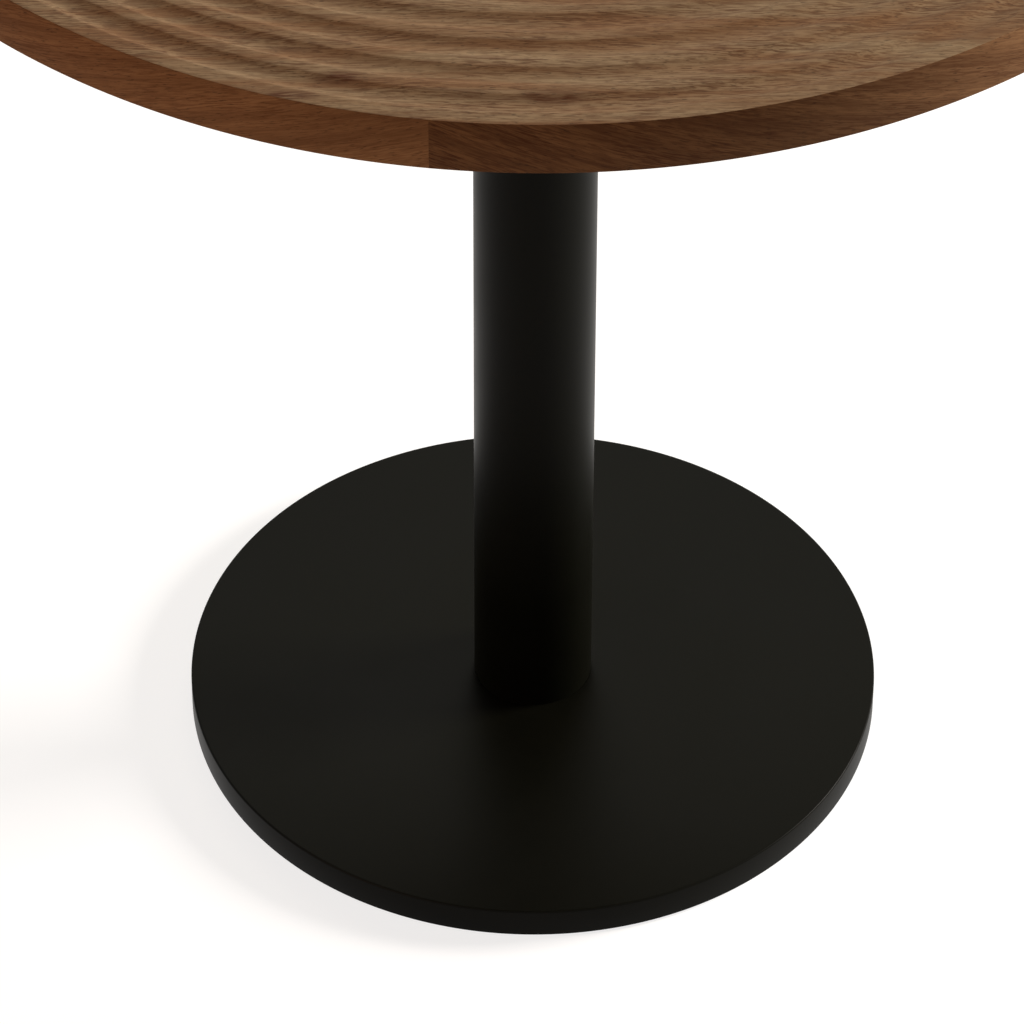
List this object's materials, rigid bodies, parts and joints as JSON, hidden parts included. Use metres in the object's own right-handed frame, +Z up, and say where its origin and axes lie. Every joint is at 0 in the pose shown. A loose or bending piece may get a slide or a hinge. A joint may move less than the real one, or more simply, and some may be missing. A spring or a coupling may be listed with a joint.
{
  "type": "round pedestal dining table",
  "caption": "Round wooden dining table with concentric turned grooves in its top, on a straight steel column and a weighted disc base with levelling glides.",
  "frame": {"origin": "on the floor, under the column's axis, with the levelling glides wound right in", "axes": "+Z up, -Y towards the front of the pictured view, +X to its right"},
  "size_m": [0.7999, 0.8, 0.77],
  "materials": {
    "oiled_face_wood": "satin oiled",
    "edge_band_wood": "satin oiled",
    "core_plywood": "raw",
    "backing_wood": "satin lacquer",
    "black_powder_coat": "fine satin powder coat",
    "primed_cast_iron": "dark primer",
    "turned_steel": "turned",
    "zinc_plated_steel": "bright zinc",
    "black_nylon": "moulded"
  },
  "bodies": {
    "table": {"face_panel": "oiled_face_wood", "core_board": "core_plywood", "backing_veneer": "backing_wood", "edge_band": "edge_band_wood", "threaded_inserts": "zinc_plated_steel", "top_plate": "black_powder_coat", "column_head_plug": "turned_steel", "plate_bolts": "zinc_plated_steel", "plate_washers": "zinc_plated_steel", "column_tube": "black_powder_coat", "tie_rod": "zinc_plated_steel", "tie_rod_washer": "zinc_plated_steel", "tie_rod_spring_washer": "zinc_plated_steel", "tie_rod_nut": "zinc_plated_steel", "base_cover": "black_powder_coat", "ballast_disc": "primed_cast_iron"},
    "foot_right": {"glide_pad_right": "black_nylon"},
    "screw_right": {"glide_stem_right": "zinc_plated_steel"},
    "foot_back": {"glide_pad_back": "black_nylon"},
    "screw_back": {"glide_stem_back": "zinc_plated_steel"},
    "foot_left": {"glide_pad_left": "black_nylon"},
    "screw_left": {"glide_stem_left": "zinc_plated_steel"},
    "foot_front": {"glide_pad_front": "black_nylon"},
    "screw_front": {"glide_stem_front": "zinc_plated_steel"}
  },
  "joints": [
    {"name": "glide_right_height", "type": "slide", "parent": "table", "child": "foot_right", "axis": [0, 0, -1], "range_m": [0, 0.007]},
    {"name": "glide_right_turn", "type": "hinge", "parent": "foot_right", "child": "screw_right", "pos_m": [0.163, 0, 0], "axis": [0, 0, -1], "range_deg": [0, 2016]},
    {"name": "glide_back_height", "type": "slide", "parent": "table", "child": "foot_back", "axis": [0, 0, -1], "range_m": [0, 0.007]},
    {"name": "glide_back_turn", "type": "hinge", "parent": "foot_back", "child": "screw_back", "pos_m": [0, 0.163, 0], "axis": [0, 0, -1], "range_deg": [0, 2016]},
    {"name": "glide_left_height", "type": "slide", "parent": "table", "child": "foot_left", "axis": [0, 0, -1], "range_m": [0, 0.007]},
    {"name": "glide_left_turn", "type": "hinge", "parent": "foot_left", "child": "screw_left", "pos_m": [-0.163, 0, 0], "axis": [0, 0, -1], "range_deg": [0, 2016]},
    {"name": "glide_front_height", "type": "slide", "parent": "table", "child": "foot_front", "axis": [0, 0, -1], "range_m": [0, 0.007]},
    {"name": "glide_front_turn", "type": "hinge", "parent": "foot_front", "child": "screw_front", "pos_m": [0, -0.163, 0], "axis": [0, 0, -1], "range_deg": [0, 2016]}
  ],
  "couplings": [
    {"joint": "glide_right_height", "follows": "glide_right_turn", "m_per_rad": 0.00019894},
    {"joint": "glide_back_height", "follows": "glide_back_turn", "m_per_rad": 0.00019894},
    {"joint": "glide_left_height", "follows": "glide_left_turn", "m_per_rad": 0.00019894},
    {"joint": "glide_front_height", "follows": "glide_front_turn", "m_per_rad": 0.00019894}
  ]
}
